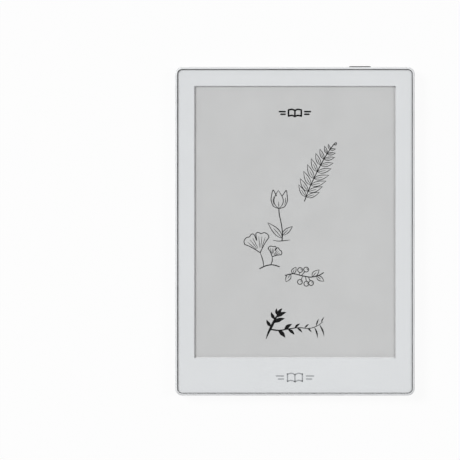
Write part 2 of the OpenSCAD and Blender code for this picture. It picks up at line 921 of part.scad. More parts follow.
module switch_body() {
    pocket = [plunger_size[0] + 4 * pocket_gap, plunger_in + key_travel + pocket_gap + eps,
              plunger_size[2] + 2 * pocket_gap];
    color("dimgray")
        difference() {
            box(key_x, switch_y, button_flex_z - switch_t, [switch_w, switch_len, switch_t]);
            box(key_x, switch_y + switch_len + eps - pocket[1], key_z - pocket[2] / 2, pocket);
        }
}

module switch_plunger() {
    color("ivory")
        box(key_x, plunger_tip_y - plunger_size[1], key_z - plunger_size[2] / 2, plunger_size);
}

module button_bracket() {
    color("silver")
        difference() {
            box(key_x, bracket_y, bracket_z, [bracket_w, bracket_len, bracket_t]);
            for (spot = bracket_screws)
                translate([spot[0], spot[1], bracket_z - eps])
                    cylinder(r = screw_hole_r, h = bracket_t + 2 * eps);
        }
}

module button_flex() {
    pad_w = 11;
    run_low_y = board_top_y - 3 - connector_mouth;
    arm_y = bracket_y - 4;
    color("darkorange")
        translate([0, 0, button_flex_z])
            linear_extrude(flex_t) {
                translate([key_x - pad_w / 2, arm_y]) square([pad_w, bracket_y + bracket_len - 0.6 - arm_y]);
                translate([key_x, arm_y]) square([button_flex_x - key_x, button_flex_w]);
                translate([button_flex_x - button_flex_w / 2, run_low_y])
                    square([button_flex_w, arm_y + button_flex_w - run_low_y]);
            }
}

module board_screws() {
    color("dimgray")
        for (spot = board_screws) translate([spot[0], spot[1], 0]) screw(board_z);
}

module bracket_screws() {
    color("dimgray")
        for (spot = bracket_screws)
            translate([spot[0], spot[1], 0])
                intersection() {
                    screw(bracket_z);
                    cylinder(r = body_w, h = tape_z);
                }
}

rear_cover();
front_frame();
mid_plate();
heat_sheet();
cover_lens();
lens_gasket();
border_print();
lens_glue_film();
touch_sensor();
touch_glue_film();
light_guide();
guide_glue_film();
epaper_film();
backplane_glass();
driver_chips();
display_tape();
light_flex();
cool_leds();
warm_leds();
display_flex();
touch_flex();
touch_chip();
battery_cell();
battery_board();
battery_tape();
battery_lead_positive();
battery_lead_negative();
battery_plug();
battery_socket();
mainboard();
shield_can();
processor();
memory_chip();
storage_chip();
power_chip();
display_power_chip();
wireless_module();
hall_sensor();
inductors();
capacitors();
flex_connectors();
antenna();
antenna_cable();
antenna_plug();
usb_shell();
usb_tongue();
usb_contacts();
card_shell();
card_base();
card_contacts();
power_button();
switch_body();
switch_plunger();
button_bracket();
button_flex();
board_screws();
bracket_screws();
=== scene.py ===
"""The looks of a six-inch e-reader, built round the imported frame.

The e-reader lies on its back: X is to the right, Y towards the top edge and Z out of the screen.
Lengths are named in millimetres and turned to metres by MM.
"""

import json
import math

import bmesh
import bpy
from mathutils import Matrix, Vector

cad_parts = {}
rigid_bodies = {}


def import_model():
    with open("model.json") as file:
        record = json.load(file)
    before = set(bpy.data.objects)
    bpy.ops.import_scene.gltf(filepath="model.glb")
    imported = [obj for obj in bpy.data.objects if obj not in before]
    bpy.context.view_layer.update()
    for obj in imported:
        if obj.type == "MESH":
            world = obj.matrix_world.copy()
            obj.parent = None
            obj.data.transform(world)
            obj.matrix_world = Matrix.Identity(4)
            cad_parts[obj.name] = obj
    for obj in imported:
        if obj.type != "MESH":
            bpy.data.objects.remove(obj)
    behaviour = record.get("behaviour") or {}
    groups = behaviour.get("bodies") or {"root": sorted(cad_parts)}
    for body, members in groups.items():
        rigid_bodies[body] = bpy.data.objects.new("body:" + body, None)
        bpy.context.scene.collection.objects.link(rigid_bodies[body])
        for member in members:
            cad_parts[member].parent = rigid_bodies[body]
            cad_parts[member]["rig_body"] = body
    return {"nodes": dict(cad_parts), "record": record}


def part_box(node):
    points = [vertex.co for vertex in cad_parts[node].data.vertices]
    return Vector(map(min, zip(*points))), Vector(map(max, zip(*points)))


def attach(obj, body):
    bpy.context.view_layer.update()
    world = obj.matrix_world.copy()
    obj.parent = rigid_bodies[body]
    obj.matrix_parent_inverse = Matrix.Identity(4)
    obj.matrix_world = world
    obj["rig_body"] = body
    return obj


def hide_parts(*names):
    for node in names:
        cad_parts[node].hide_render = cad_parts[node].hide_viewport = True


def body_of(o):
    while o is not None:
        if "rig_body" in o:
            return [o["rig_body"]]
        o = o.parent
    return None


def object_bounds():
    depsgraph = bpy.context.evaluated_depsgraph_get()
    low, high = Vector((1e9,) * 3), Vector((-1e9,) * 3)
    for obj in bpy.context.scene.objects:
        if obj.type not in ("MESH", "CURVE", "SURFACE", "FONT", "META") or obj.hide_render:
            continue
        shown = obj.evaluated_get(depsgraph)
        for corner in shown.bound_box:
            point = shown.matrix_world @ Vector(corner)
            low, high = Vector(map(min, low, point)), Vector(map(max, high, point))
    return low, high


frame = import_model()
cad_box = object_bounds()

MM = 0.001
NODES = frame["nodes"]
SLOT_OF = {part["node"]: part["material_slot"] for part in frame["record"]["subparts"]}

# Screen
FILM_MARGIN = 1.2  # how far the e-paper film runs under the border on each side
FILM_CORNER = 0.4
WINDOW_R = 0.5
EDGE_LINE_W = 0.4
INK_T = 0.012  # thickness of everything that is drawn
SUNK = 0.001  # keeps drawn pieces and clear layers from sharing a face with their neighbours
PEN = 0.37  # width of the fine drawings' lines
BOLD = 1.2  # how much wider stems are
FINE = 0.8  # how much finer ribs and shading are
BERRY_R = 1.1
BORDER_MARK_UP = 8.1  # from the bottom edge to the middle of the mark

# Edges
LENS_R = 2.0
LENS_EDGE = 0.1
MOUTH_EDGE = 0.1  # the round on the mouths of the ports and of the key
RIM_EDGE = 0.05  # the round on the rim's inner edge

# Meshes
SAME = 0.0001  # points closer than this are one
FLAT_ANGLE = math.radians(0.2)
SHARP_ANGLE = math.radians(35)
CORNER_STEPS = 8
EDGE_STEPS = 3
FILM_STEPS = 5
LEAF_STEPS = 6
CURVE_STEPS = 6
EDGE_TURNS = (0.4, 0.8, 1.2, math.tau / 4)  # stations round the lens's polished edge
TIP_TURNS = (0.5, 1.0, 1.4)  # stations round the tip of a line
MOUTH_DEPTH = 0.6  # how far into the wall a mouth's outer edge may lie
MOUTH_ROOM = 1.2  # how far round a part its mouth may lie

# Picture
FRAME_MM = 207.4  # what the camera's frame spans at the screen
CAMERA_X = -29.27
CAMERA_Y = 0.59
LENS_MM = 400
SENSOR_MM = 36
CLIP_END = 20  # metres

# Light
LIGHTS = {  # name: (where it shines from, strength)
    "left_light": (Vector((-0.64, 0.34, 0.70)), 2.15),
    "right_light": (Vector((0.64, 0.10, 0.70)), 1.02),
}
LIGHT_ANGLE = math.radians(24)
WALLS = 0.7  # how bright the room is at eye level
CEILING = 0.12
BACKDROP = 0.98  # how bright the room looks to the camera
FLOOR_HALF = 9.0  # metres
FLOOR_DIFFUSE = 0.06
FLOOR_GLOW = 0.92
CLEAR_BOUNCES = 32  # enough for every clear layer of the display, twice

WAVE_PITCH = math.tau / 20  # the wave texture's pitch at scale 1


# ---------- Materials ----------


class Paint:
    """A material in the making: its Principled shader and the nodes that feed it."""

    def __init__(self, name, sockets):
        self.material = bpy.data.materials.new(name)
        self.material.use_nodes = True
        self.tree = self.material.node_tree
        self.shader = self.tree.nodes["Principled BSDF"]
        for socket, value in sockets.items():
            self.shader.inputs[socket].default_value = value
        self.place = self.add("ShaderNodeTexCoord").outputs["Object"]

    def add(self, kind, inputs=None, **settings):
        """A node with its settings, its values and its links."""
        node = self.tree.nodes.new(kind)
        for key, value in settings.items():
            setattr(node, key, value)
        for socket, value in (inputs or {}).items():
            if isinstance(value, bpy.types.NodeSocket):
                self.tree.links.new(value, node.inputs[socket])
            else:
                node.inputs[socket].default_value = value
        return node

    def feed(self, socket, source):
        """Links a source to one of the shader's sockets."""
        self.tree.links.new(source, self.shader.inputs[socket])

    def stretched(self, x, y, z):
        """The surface's place, with each axis drawn out that many times."""
        inputs = {"Vector": self.place, "Scale": (1 / x, 1 / y, 1 / z)}
        return self.add("ShaderNodeMapping", inputs).outputs[0]

    def grain(self, size, detail=2.0, place=None):
        """Soft noise with blobs of about that size in millimetres."""
        inputs = {"Vector": place or self.place, "Scale": 1 / (size * MM), "Detail": detail}
        return self.add("ShaderNodeTexNoise", inputs).outputs[0]

    def cells(self, size):
        """Voronoi cells of about that size in millimetres: (distance, colour of the cell)."""
        node = self.add("ShaderNodeTexVoronoi", {"Vector": self.place, "Scale": 1 / (size * MM)})
        return node.outputs["Distance"], node.outputs["Color"]

    def bands(self, pitch, axis="X"):
        """Straight bands across an axis, with that pitch in millimetres."""
        inputs = {"Vector": self.place, "Scale": WAVE_PITCH / (pitch * MM)}
        return self.add("ShaderNodeTexWave", inputs, bands_direction=axis).outputs[1]

    def between(self, source, low, high, start=0.3, end=0.7):
        """Spreads the middle of a source over a range of values."""
        inputs = {"Value": source, "From Min": start, "From Max": end, "To Min": low, "To Max": high}
        return self.add("ShaderNodeMapRange", inputs).outputs[0]

    def shades(self, source, dark, light, start=0.3, end=0.7):
        """Blends two colours by a source."""
        ramp = self.add("ShaderNodeValToRGB", {"Fac": source})
        for element, position, colour in zip(ramp.color_ramp.elements, (start, end), (dark, light)):
            element.position = position
            element.color = (*colour, 1)
        return ramp.outputs[0]

    def mixed(self, share, first, second):
        """The first value where the share is 0 and the second where it is 1."""
        return self.add("ShaderNodeMix", {0: share, 2: first, 3: second}, data_type="FLOAT").outputs[0]

    def bump(self, height, depth):
        """Raises the surface by up to depth millimetres where height is 1."""
        inputs = {"Height": height, "Distance": depth * MM, "Strength": 1.0}
        self.feed("Normal", self.add("ShaderNodeBump", inputs).outputs[0])


def tinted(colour, factor):
    """A colour made darker or lighter."""
    return tuple(min(1.0, channel * factor) for channel in colour)


def moulded_plastic(name, colour, rough=0.42, grain=0.14, depth=0.006, spread=0.02):
    """Plastic from a finely etched mould, with a faint cloudiness in its colour."""
    paint = Paint(name, {"IOR": 1.5})
    dark, light = tinted(colour, 1 - spread), tinted(colour, 1 + spread)
    paint.feed("Base Color", paint.shades(paint.grain(14), dark, light))
    paint.feed("Roughness", paint.between(paint.grain(2.5), rough - 0.05, rough + 0.05))
    paint.bump(paint.grain(grain, 3), depth)
    return paint.material


def printed_border(name, colour):
    """The cool white print behind the lens, laid down in passes that leave a faint mottle."""
    paint = Paint(name, {"IOR": 1.45, "Specular IOR Level": 0.2})
    paint.feed("Base Color", paint.shades(paint.grain(22), tinted(colour, 0.99), tinted(colour, 1.01)))
    paint.feed("Roughness", paint.between(paint.grain(0.5), 0.6, 0.7))
    paint.bump(paint.grain(0.08, 3), 0.001)
    return paint.material


def screen_paper(name, colour):
    """E-paper: a layer of tiny capsules, each a little lighter or darker than the next."""
    paint = Paint(name, {"Specular IOR Level": 0.1})
    capsule = paint.cells(0.09)[1]
    fine = paint.add("ShaderNodeSeparateColor", {"Color": capsule}).outputs[0]
    cloud = paint.grain(6)
    mixed = paint.add("ShaderNodeMath", {0: fine, 1: cloud}, operation="ADD").outputs[0]
    tone = paint.between(mixed, 0, 1, 0.2, 1.8)
    paint.feed("Base Color", paint.shades(tone, tinted(colour, 0.95), tinted(colour, 1.05), 0, 1))
    paint.feed("Roughness", paint.between(cloud, 0.85, 0.95))
    paint.bump(fine, 0.002)
    return paint.material


def lens_glass(name, rough):
    """A clear pane with a fine anti-glare etch: lamps and sight pass, and it mirrors softly by Fresnel."""
    paint = Paint(name, {})
    tree = paint.tree
    etch = {"Height": paint.grain(0.05, 3), "Distance": 0.0004 * MM, "Strength": 1.0}
    etched = paint.add("ShaderNodeBump", etch).outputs[0]
    mirror = paint.add("ShaderNodeBsdfAnisotropic", {"Roughness": rough, "Normal": etched})
    clear = paint.add("ShaderNodeBsdfTransparent", {"Color": (0.998, 1.0, 1.0, 1)})
    edge_on = paint.add("ShaderNodeFresnel", {"IOR": 1.45}).outputs[0]
    inside = paint.add("ShaderNodeNewGeometry").outputs["Backfacing"]
    outside = paint.add("ShaderNodeMath", {0: 1.0, 1: inside}, operation="SUBTRACT").outputs[0]
    share = paint.add("ShaderNodeMath", {0: edge_on, 1: outside}, operation="MULTIPLY").outputs[0]
    mix = paint.add("ShaderNodeMixShader", {0: share, 1: clear.outputs[0], 2: mirror.outputs[0]})
    tree.links.new(mix.outputs[0], tree.nodes["Material Output"].inputs["Surface"])
    tree.nodes.remove(paint.shader)
    return paint.material


def clear_film(name):
    """An optical film that is glued between its neighbours, so that nothing is mirrored off it."""
    paint = Paint(name, {})
    tree = paint.tree
    tint = paint.shades(paint.grain(20), (0.998, 0.998, 0.998), (1.0, 1.0, 1.0))
    clear = paint.add("ShaderNodeBsdfTransparent", {"Color": tint})
    tree.links.new(clear.outputs[0], tree.nodes["Material Output"].inputs["Surface"])
    tree.nodes.remove(paint.shader)
    return paint.material


def foam(name, colour):
    """Closed-cell foam or adhesive tape, with small hollows, each painted darker at its middle as shade.
    """
    paint = Paint(name, {"Specular IOR Level": 0.25})
    pits_and_shade = paint.cells(0.12)[0]
    # painted shade: each pit is darker at its middle, where the bump sinks it
    paint.feed("Base Color", paint.shades(pits_and_shade, tinted(colour, 0.7), tinted(colour, 1.2), 0.0, 0.6))
    paint.feed("Roughness", paint.between(paint.grain(0.4), 0.75, 0.9))
    paint.bump(pits_and_shade, 0.02)
    return paint.material


def blasted_metal(name, colour, rough):
    """Anodised metal with a fine bead-blasted surface."""
    paint = Paint(name, {"Metallic": 1.0})
    paint.feed("Base Color", paint.shades(paint.grain(1.5), tinted(colour, 0.93), tinted(colour, 1.07)))
    paint.feed("Roughness", paint.between(paint.grain(0.3), rough - 0.05, rough + 0.05))
    paint.bump(paint.grain(0.06, 3), 0.004)
    return paint.material


def rolled_metal(name, colour, rough, along=(30, 1, 1)):
    """Sheet metal with the fine lines of its rolling along one axis."""
    paint = Paint(name, {"Metallic": 1.0, "Anisotropic": 0.3})
    lines = paint.grain(0.05, 4, paint.stretched(*along))
    paint.feed("Base Color", paint.shades(lines, tinted(colour, 0.9), tinted(colour, 1.05)))
    paint.feed("Roughness", paint.between(lines, rough - 0.06, rough + 0.08))
    paint.bump(lines, 0.002)
    return paint.material


def pouch_foil(name, colour):
    """The battery's aluminium laminate, softly crumpled by the cell behind it, with shade painted into the
    hollows of the crumples.
    """
    paint = Paint(name, {"Metallic": 0.9})
    creases_and_shade = paint.grain(5, 4)
    # painted shade: the colour darkens where the crumples sink
    paint.feed("Base Color", paint.shades(creases_and_shade, tinted(colour, 0.92), tinted(colour, 1.06)))
    paint.feed("Roughness", paint.between(paint.grain(1.2), 0.3, 0.42))
    paint.bump(creases_and_shade, 0.08)
    return paint.material


def circuit_board(name, mask, copper):
    """Solder mask over copper: bundles of tracks show through, some across the board and some along it."""
    paint = Paint(name, {"Coat Weight": 0.6, "Coat Roughness": 0.15})
    area = paint.add("ShaderNodeSeparateColor", {"Color": paint.cells(7)[1]}).outputs[0]
    along = paint.between(area, 0, 1, 0.49, 0.51)
    tracks = paint.mixed(along, paint.bands(0.7), paint.bands(0.7, "Y"))
    paint.feed("Base Color", paint.shades(tracks, mask, copper, 0.6, 0.8))
    paint.feed("Roughness", paint.between(paint.grain(0.8), 0.3, 0.42))
    paint.bump(tracks, 0.01)
    return paint.material


def flexible_circuit(name, film, copper):
    """Amber film over close-set copper lines."""
    paint = Paint(name, {"Coat Weight": 0.4, "Coat Roughness": 0.2})
    lines = paint.bands(0.4)
    paint.feed("Base Color", paint.shades(lines, copper, film, 0.35, 0.6))
    paint.feed("Roughness", paint.between(paint.grain(1.0), 0.28, 0.4))
    paint.bump(lines, 0.006)
    return paint.material


def glass_circuit(name, colour):
    """The backplane: thin glass that carries the screen's grid of transistors."""
    paint = Paint(name, {"Coat Weight": 1.0, "Coat Roughness": 0.05})
    lines = {0: paint.bands(0.5), 1: paint.bands(0.5, "Y")}
    rows = paint.add("ShaderNodeMath", lines, operation="MAXIMUM").outputs[0]
    paint.feed("Base Color", paint.shades(rows, colour, tinted(colour, 0.75), 0.8, 0.95))
    paint.feed("Roughness", paint.between(paint.grain(4), 0.2, 0.3))
    return paint.material


def epoxy(name, colour):
    """A chip's moulded black body."""
    paint = Paint(name, {"Specular IOR Level": 0.4})
    paint.feed("Base Color", paint.shades(paint.grain(0.5), tinted(colour, 0.85), tinted(colour, 1.2)))
    paint.feed("Roughness", paint.between(paint.grain(0.2), 0.5, 0.65))
    paint.bump(paint.grain(0.05, 3), 0.004)
    return paint.material


def graphite_sheet(name, colour):
    """Pressed graphite flakes under a thin clear laminate."""
    paint = Paint(name, {"Metallic": 0.4, "Coat Weight": 0.3, "Coat Roughness": 0.3})
    flakes = paint.cells(0.5)[1]
    tone = paint.add("ShaderNodeSeparateColor", {"Color": flakes}).outputs[0]
    paint.feed("Base Color", paint.shades(tone, tinted(colour, 0.8), tinted(colour, 1.3), 0, 1))
    paint.feed("Roughness", paint.between(tone, 0.4, 0.6, 0, 1))
    return paint.material


def lamp_package(name, body, phosphor):
    """A small LED: a pale ceramic case with a pool of phosphor."""
    paint = Paint(name, {"Specular IOR Level": 0.4})
    pool = paint.bands(4.9)
    paint.feed("Base Color", paint.shades(pool, body, phosphor, 0.4, 0.6))
    paint.feed("Roughness", paint.between(paint.grain(0.3), 0.35, 0.5))
    return paint.material


def insulation(name, colour):
    """The smooth jacket of a thin lead."""
    paint = Paint(name, {"IOR": 1.5})
    paint.feed("Base Color", paint.shades(paint.grain(1.5), tinted(colour, 0.9), tinted(colour, 1.1)))
    paint.feed("Roughness", paint.between(paint.grain(0.6), 0.3, 0.4))
    paint.bump(paint.grain(0.5), 0.01)
    return paint.material


def turned_steel(name, colour):
    """A screw head with the faint marks of its turning."""
    paint = Paint(name, {"Metallic": 1.0})
    marks = paint.grain(0.08, 3, paint.stretched(1, 1, 6))
    paint.feed("Base Color", paint.shades(marks, tinted(colour, 0.85), tinted(colour, 1.1)))
    paint.feed("Roughness", paint.between(marks, 0.28, 0.42))
    paint.bump(marks, 0.003)
    return paint.material


def ink(name, colour, spread):
    """Pigment held in the capsules of the screen and printed on the border, and the pale painted light
    along the window's edge, each a little uneven in tone.
    """
    paint = Paint(name, {"Specular IOR Level": 0.1})
    dark, light = tinted(colour, 1 - spread), tinted(colour, 1 + spread)
    paint.feed("Base Color", paint.shades(paint.grain(0.2, 3), dark, light))
    paint.feed("Roughness", paint.between(paint.grain(0.3), 0.8, 0.95))
    return paint.material


MATERIALS = {
    "white_shell": moulded_plastic("white_shell", (0.68, 0.69, 0.70)),
    "plate_metal": rolled_metal("plate_metal", (0.78, 0.79, 0.80), 0.35),
    "graphite": graphite_sheet("graphite", (0.05, 0.05, 0.055)),
    "lens": lens_glass("lens", 0.16),
    "gasket": foam("gasket", (0.11, 0.11, 0.113)),
    "border_white": printed_border("border_white", (0.733, 0.743, 0.755)),
    "clear_film": clear_film("clear_film"),
    "epaper": screen_paper("epaper", (0.62, 0.62, 0.62)),
    "backplane": glass_circuit("backplane", (0.38, 0.45, 0.46)),
    "chip_black": epoxy("chip_black", (0.022, 0.022, 0.024)),
    "tape": foam("tape", (0.06, 0.06, 0.065)),
    "flex_amber": flexible_circuit("flex_amber", (0.56, 0.25, 0.04), (0.42, 0.17, 0.05)),
    "led_cool": lamp_package("led_cool", (0.85, 0.85, 0.82), (0.9, 0.82, 0.3)),
    "led_warm": lamp_package("led_warm", (0.85, 0.83, 0.78), (0.95, 0.5, 0.12)),
    "pouch_foil": pouch_foil("pouch_foil", (0.72, 0.73, 0.75)),
    "board_green": circuit_board("board_green", (0.01, 0.075, 0.035), (0.06, 0.2, 0.08)),
    "lead_red": insulation("lead_red", (0.42, 0.012, 0.01)),
    "lead_black": insulation("lead_black", (0.018, 0.018, 0.02)),
    "connector_ivory": moulded_plastic("connector_ivory", (0.70, 0.65, 0.50), 0.38, 0.1, 0.004),
    "can_metal": rolled_metal("can_metal", (0.62, 0.62, 0.61), 0.28, (1, 20, 1)),
    "ceramic_tan": moulded_plastic("ceramic_tan", (0.32, 0.19, 0.09), 0.4, 0.1, 0.006, 0.06),
    "contact_gold": blasted_metal("contact_gold", (0.83, 0.58, 0.22), 0.25),
    "key_metal": blasted_metal("key_metal", (0.07, 0.072, 0.077), 0.36),
    "switch_grey": moulded_plastic("switch_grey", (0.03, 0.03, 0.033), 0.5, 0.1, 0.005),
    "screw_steel": turned_steel("screw_steel", (0.22, 0.22, 0.23)),
}
SCREEN_INK = ink("screen_ink", (0.008, 0.008, 0.0085), 0.3)
# painted light: the window's edge line is paler than the paper, to lift the shadow that the border casts
# into the window
EDGE_PAINTED_LIGHT_INK = ink("edge_ink_painted_light", (0.9, 0.9, 0.905), 0.04)
BORDER_INK = ink("border_ink", (0.36, 0.37, 0.385), 0.04)

for node_name, node in NODES.items():
    node.data.materials.clear()
    node.data.materials.append(MATERIALS[SLOT_OF[node_name]])


# ---------- Pieces ----------


def piece(name, bm, body, material, shaded=False):
    """Turns mesh data into a piece that rides on a body and takes the material it is given."""
    bmesh.ops.recalc_face_normals(bm, faces=bm.faces)
    mesh = bpy.data.meshes.new(name)
    bm.to_mesh(mesh)
    bm.free()
    mesh.materials.clear()
    mesh.materials.append(material)
    made = bpy.data.objects.new(name, mesh)
    bpy.context.scene.collection.objects.link(made)
    if shaded:
        if "custom_normal" in mesh.attributes:
            mesh.attributes.remove(mesh.attributes["custom_normal"])
        mesh.shade_smooth()
        mesh.set_sharp_from_angle(angle=SHARP_ANGLE)
        made.modifiers.new("even_shading", "WEIGHTED_NORMAL").keep_sharp = True
    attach(made, body)
    return made


def stands_for(node_name, ending, bm):
    """A piece with a CAD node's body, slot and material, shown in place of the node."""
    slot_name = SLOT_OF[node_name]
    body = body_of(NODES[node_name])[0]
    made = piece(node_name + ending, bm, body, MATERIALS[slot_name], True)
    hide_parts(node_name)


def eased_copy(node_name, wanted, radius):
    """Stands for a CAD node: its mesh, with a small round on the sharp edges that are wanted."""
    bm = bmesh.new()
    bm.from_mesh(NODES[node_name].data)
    bmesh.ops.remove_doubles(bm, verts=bm.verts, dist=SAME * MM)
    bmesh.ops.dissolve_limit(bm, angle_limit=FLAT_ANGLE, verts=bm.verts, edges=bm.edges)
    edges = [
        edge for edge in bm.edges
        if len(edge.link_faces) == 2 and edge.calc_face_angle() > SHARP_ANGLE
        and all(wanted(vert.co / MM) for vert in edge.verts)
    ]
    bmesh.ops.bevel(
        bm, geom=edges, offset=radius * MM, offset_type="OFFSET", segments=EDGE_STEPS, profile=0.5,
        affect="EDGES", clamp_overlap=True,
    )
    stands_for(node_name, "_shape", bm)


def parted_sheet(node_name):
    """Stands for a clear film: drawn in by a hair so that it shares no face, and with eased corners."""
    low, high = (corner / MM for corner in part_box(node_name))
    size = high - low
    bm = bmesh.new()
    bmesh.ops.create_cube(bm, size=1)
    for vert in bm.verts:
        for axis in range(3):
            vert.co[axis] = (low[axis] + high[axis]) / 2 + vert.co[axis] * (size[axis] - 2 * SUNK)
    bmesh.ops.scale(bm, vec=(MM, MM, MM), verts=bm.verts)
    upright = [edge for edge in bm.edges if abs(edge.verts[0].co.z - edge.verts[1].co.z) > SUNK * MM]
    bmesh.ops.bevel(
        bm, geom=upright, offset=FILM_CORNER * MM, offset_type="OFFSET", segments=FILM_STEPS, profile=0.5,
        affect="EDGES",
    )
    stands_for(node_name, "_layer", bm)


def outline(half_x, half_y, radius):
    """Points round a rectangle with round corners, in millimetres about its centre."""
    points = []
    for quarter, (sx, sy) in enumerate(((1, 1), (-1, 1), (-1, -1), (1, -1))):
        for step in range(CORNER_STEPS + 1):
            angle = math.tau / 4 * (quarter + step / CORNER_STEPS)
            x = sx * (half_x - radius) + radius * math.cos(angle)
            y = sy * (half_y - radius) + radius * math.sin(angle)
            points.append((x, y))
    return points


def lens_pane(node_name, radius, edge):
    """Stands for the lens: a pane whose front edge is polished to a quarter round."""
    low, high = (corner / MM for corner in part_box(node_name))
    middle = (low + high) / 2
    half = (high - low) / 2
    levels = [(SUNK, low.z + SUNK), (SUNK, high.z - edge)]
    for turn in EDGE_TURNS:
        levels.append((SUNK + edge * (1 - math.cos(turn)), high.z - edge * (1 - math.sin(turn))))
    bm = bmesh.new()
    rings = []
    for inset, z in levels:
        points = outline(half.x - inset, half.y - inset, radius - inset)
        rings.append([bm.verts.new(Vector((middle.x + x, middle.y + y, z)) * MM) for x, y in points])
    for below, above in zip(rings, rings[1:]):
        for i in range(len(below)):
            bm.faces.new((below[i - 1], below[i], above[i], above[i - 1]))
    bm.faces.new(rings[0])
    bm.faces.new(rings[-1])
    stands_for(node_name, "_pane", bm)


def near_nodes(*names):
    """A test for a point on the outside of the bottom or top edge, close to one of some CAD nodes."""
    boxes = [tuple(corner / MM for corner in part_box(name)) for name in names]
    bottom, top = (corner.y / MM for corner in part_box("rear_cover"))

    def test(spot):
        outside = spot.y < bottom + MOUTH_DEPTH or spot.y > top - MOUTH_DEPTH
        return outside and any(
            low.x - MOUTH_ROOM < spot.x < high.x + MOUTH_ROOM
            and low.z - MOUTH_ROOM < spot.z < high.z + MOUTH_ROOM
            for low, high in boxes
        )

    return test


body_top = cad_box[1].z / MM
eased_copy("rear_cover", near_nodes("usb_shell", "card_shell", "power_button"), MOUTH_EDGE)
eased_copy("front_frame", lambda spot: spot.z > body_top - SUNK, RIM_EDGE)
lens_pane("cover_lens", LENS_R, LENS_EDGE)
for film in ("lens_glue_film", "touch_sensor", "touch_glue_film", "light_guide", "guide_glue_film"):
    parted_sheet(film)


# ---------- Drawn lines ----------


def curve_through(points, closed=False):
    """A smooth line of (x, y, width) through the given ones, which are in millimetres."""
    count = len(points)
    spans = count if closed else count - 1
    line = []
    for i in range(spans):
        if closed:
            around = [points[(i + k) % count] for k in (-1, 0, 1, 2)]
        else:
            around = [points[min(max(i + k, 0), count - 1)] for k in (-1, 0, 1, 2)]
        a, b, c, d = (Vector(point) for point in around)
        bend = 2 * a - 5 * b + 4 * c - d
        twist = 3 * b - a - 3 * c + d
        for step in range(CURVE_STEPS):
            t = step / CURVE_STEPS
            line.append(0.5 * (2 * b + (c - a) * t + bend * t**2 + twist * t**3))
    if not closed:
        line.append(Vector(points[-1]))
    return line


def with_round_ends(line):
    """The line with a half-round end added at each tip."""
    tips = []
    for tip, inner in ((line[0], line[1]), (line[-1], line[-2])):
        out = (tip.xy - inner.xy).normalized()
        reach = [(tip.xy + out * tip.z / 2 * math.sin(turn), tip.z * math.cos(turn)) for turn in TIP_TURNS]
        tips.append([Vector((spot.x, spot.y, width)) for spot, width in reach])
    return tips[0][::-1] + line + tips[1]


def add_ribbon(bm, line, closed, low, high):
    """Adds a flat closed strip along a line of (x, y, width), between two heights, all in millimetres."""
    rings = []
    count = len(line)
    for i, spot in enumerate(line):
        before = line[i - 1] if closed or i > 0 else spot
        after = line[(i + 1) % count] if closed or i < count - 1 else spot
        along = (after.xy - before.xy).normalized()
        side = Vector((-along.y, along.x)) * spot.z / 2
        left, right = spot.xy + side, spot.xy - side
        corners = [(left, low), (right, low), (right, high), (left, high)]
        rings.append([bm.verts.new(Vector((place.x, place.y, z)) * MM) for place, z in corners])
    for i in range(count if closed else count - 1):
        here, there = rings[i], rings[(i + 1) % count]
        for k in range(4):
            bm.faces.new((here[k], here[k - 3], there[k - 3], there[k]))
    if not closed:
        bm.faces.new(rings[0])
        bm.faces.new(rings[-1][::-1])


def drawing(name, strokes, centre, level, material):
    """A piece made of strokes, each (points, closed), moved to a centre and laid at a level."""
    bm = bmesh.new()
    for points, closed in strokes:
        moved = [(x + centre[0], y + centre[1], width) for x, y, width in points]
        line = curve_through(moved, closed)
        if not closed:
            line = with_round_ends(line)
        add_ribbon(bm, line, closed, level - SUNK, level + INK_T)
    piece(name, bm, "housing", material)


def drawn(points, width, closed=False):
    """A stroke of even width through (x, y) points."""
    return [(x, y, width) for x, y in points], closed


def tapered(points, width):
    """A pen stroke that is lighter at both ends."""
    last = len(points) - 1
    swell = [0.5 + 0.5 * math.sin(math.pi * i / last) for i in range(last + 1)]
    return [(x, y, width * part) for (x, y), part in zip(points, swell)], False


def between_ends(start, end, aside):
    """The point halfway between two others, moved aside."""
    return tuple((Vector(start) + Vector(end)) / 2 + Vector(aside))


def leaf(base, turn, length, wide, pen, rib=0.8, bend=0.0):
    """A pointed leaf from its base.

    turn is its direction in degrees, rib how much of its length has a midrib, and bend how far it curls.
    """
    ahead = Vector((math.cos(math.radians(turn)), math.sin(math.radians(turn))))
    aside = Vector((-ahead.y, ahead.x))

    def at(t, side):
        across = side * wide / 2 * math.sin(math.pi * t**0.8) + bend * length * t * t
        return tuple(Vector(base) + ahead * length * t + aside * across)

    stations = [i / LEAF_STEPS for i in range(LEAF_STEPS + 1)]
    strokes = [tapered([at(t, side) for t in stations], pen) for side in (1, -1)]
    if rib:
        strokes.append(tapered([at(t * rib, 0) for t in stations[:-1]], pen * FINE))
    return strokes


def circle(centre, radius, pen):
    """A closed round line."""
    turns = [math.tau * i / CORNER_STEPS for i in range(CORNER_STEPS)]
    points = [(centre[0] + radius * math.cos(turn), centre[1] + radius * math.sin(turn)) for turn in turns]
    return drawn(points, pen, True)


def fern():
    """A fern frond that leans to the right and curls at its tip."""
    spine = [
        (-6.2, -13.4), (-4.6, -9.0), (-2.2, -3.6), (0.6, 2.0), (3.4, 7.0),
        (5.8, 10.6), (7.4, 12.6), (8.1, 12.9), (8.0, 12.0), (7.3, 12.0),
    ]
    leafy_spans = 4.9
    pairs = 9
    shortest, growth = 1.6, 5.4
    spread, curl = 58, 0.12
    strokes = [drawn(spine, PEN * 1.1)]
    for i in range(pairs):
        part = (i + 0.8) / pairs
        place = part * leafy_spans
        span = int(place)
        start, end = Vector(spine[span]), Vector(spine[span + 1])
        base = start.lerp(end, place - span)
        lean = math.degrees(math.atan2((end - start).y, (end - start).x))
        length = shortest + growth * math.sin(math.pi * (0.28 + 0.68 * part))
        rib = 0.7 if length > 3 else 0
        for side in (1, -1):
            strokes += leaf(base, lean + side * spread, length, length * 0.3, PEN * 0.9, rib, -side * curl)
    return strokes


